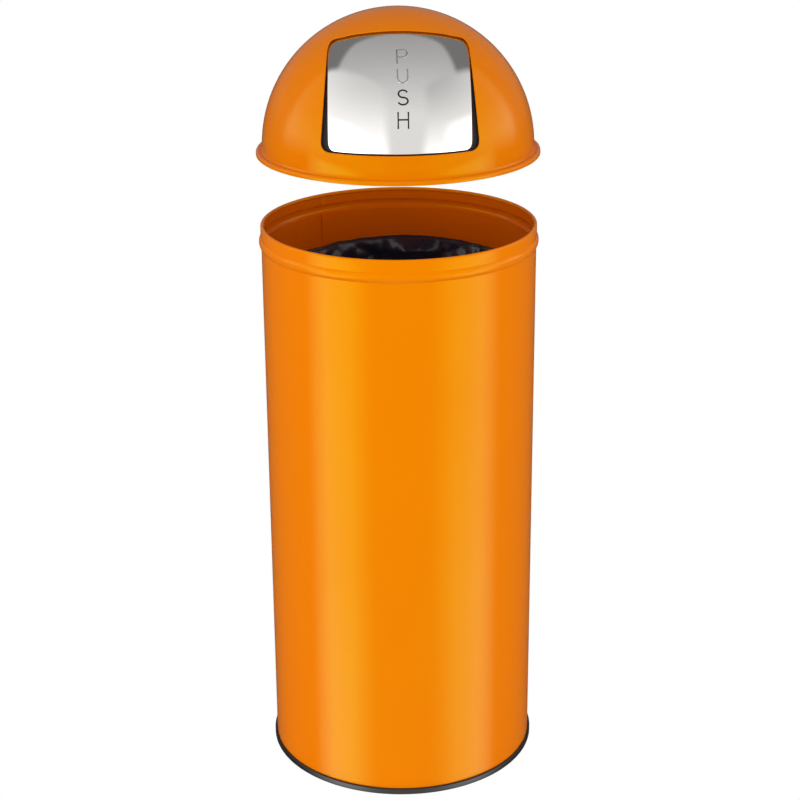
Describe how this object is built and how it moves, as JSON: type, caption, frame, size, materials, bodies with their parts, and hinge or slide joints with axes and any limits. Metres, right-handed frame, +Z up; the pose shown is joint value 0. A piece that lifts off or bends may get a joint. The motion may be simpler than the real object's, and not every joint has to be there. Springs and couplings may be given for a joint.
{
  "type": "dome top waste receptacle",
  "caption": "Round sheet-steel waste bin with a lift-off hemispherical dome lid, a sprung push flap, and a bailed inner bucket holding a liner bag",
  "frame": {"origin": "centre of the footprint, on the floor under the foot ring", "axes": "+Z up along the drum's axis, -Y towards the front where the push flap is, +X to the right seen from the back"},
  "size_m": [0.3042, 0.3042, 0.856],
  "materials": {
    "enamel": "gloss stove enamel",
    "plastic": "satin moulded plastic",
    "galvanised": "hot-dip galvanised sheet",
    "bag_film": "thin crumpled film",
    "zinc": "zinc plated",
    "polished": "polished stainless steel",
    "spring_steel": "drawn spring wire",
    "rubber": "matt rubber",
    "nylon": "natural nylon"
  },
  "bodies": {
    "bin_body": {"body_shell": "enamel", "base_ring": "plastic", "bottom_plate": "galvanised"},
    "inner_bucket": {"inner_bucket": "galvanised", "bucket_base": "galvanised", "liner_bag": "bag_film", "bail_ear_right": "zinc", "bail_ear_left": "zinc", "ear_rivet_right_1": "zinc", "ear_rivet_left_1": "zinc", "ear_rivet_right_2": "zinc", "ear_rivet_left_2": "zinc"},
    "bail": {"bail_handle": "zinc", "bail_grip": "plastic"},
    "lid": {"dome_shell": "enamel", "hinge_rod": "zinc", "hinge_bracket_right": "zinc", "hinge_bracket_left": "zinc", "rod_clip_right": "spring_steel", "rod_clip_left": "spring_steel", "stop_pin_right": "zinc", "stop_pin_left": "zinc", "stop_sleeve_right": "rubber", "stop_sleeve_left": "rubber"},
    "flap": {"flap_panel": "polished", "flap_lug_right": "zinc", "flap_lug_left": "zinc", "hinge_bush_right": "nylon", "hinge_bush_left": "nylon", "torsion_spring_right": "spring_steel", "torsion_spring_left": "spring_steel"}
  },
  "joints": [
    {"name": "bucket_lift", "type": "slide", "parent": "bin_body", "child": "inner_bucket", "axis": [0, 0, 1], "range_m": [0, 0.62]},
    {"name": "handle_swing", "type": "hinge", "parent": "inner_bucket", "child": "bail", "pos_m": [0, 0, 0.55], "axis": [-1, 0, 0], "range_deg": [0, 172]},
    {"name": "lid_lift", "type": "slide", "parent": "inner_bucket", "child": "lid", "axis": [0, 0, 1], "range_m": [-0.08, 0.15]},
    {"name": "flap_swing", "type": "hinge", "parent": "lid", "child": "flap", "pos_m": [0, -0.03584, 0.82931], "axis": [1, 0, 0], "range_deg": [0, 55], "stiffness_Nm_per_rad": 0.35, "springref_deg": -34.38}
  ]
}
